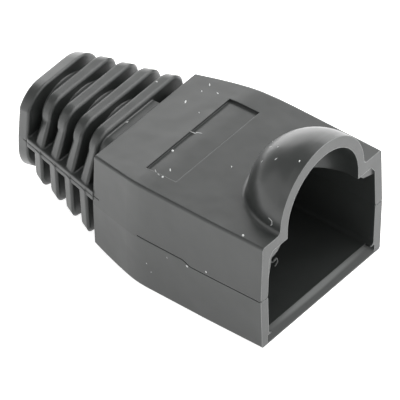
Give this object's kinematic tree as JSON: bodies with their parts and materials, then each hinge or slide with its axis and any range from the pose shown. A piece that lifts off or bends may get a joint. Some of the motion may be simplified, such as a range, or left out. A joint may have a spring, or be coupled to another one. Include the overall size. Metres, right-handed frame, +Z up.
{
  "type": "rj45 strain relief boot",
  "caption": "Soft moulded boot that slips over a modular plug: square open hood, half-round latch cover on top and a ribbed, slotted tail bored for the cable.",
  "frame": {"origin": "on the resting plane, under the middle of the bounding box", "axes": "+Z up; +Y along the cable's line from the open mouth toward the tail; +X across"},
  "size_m": [0.014, 0.024, 0.0138],
  "materials": {
    "soft_pvc": "satin moulded, dark grey"
  },
  "bodies": {
    "root": {"strain_relief_boot": "soft_pvc"}
  },
  "joints": []
}
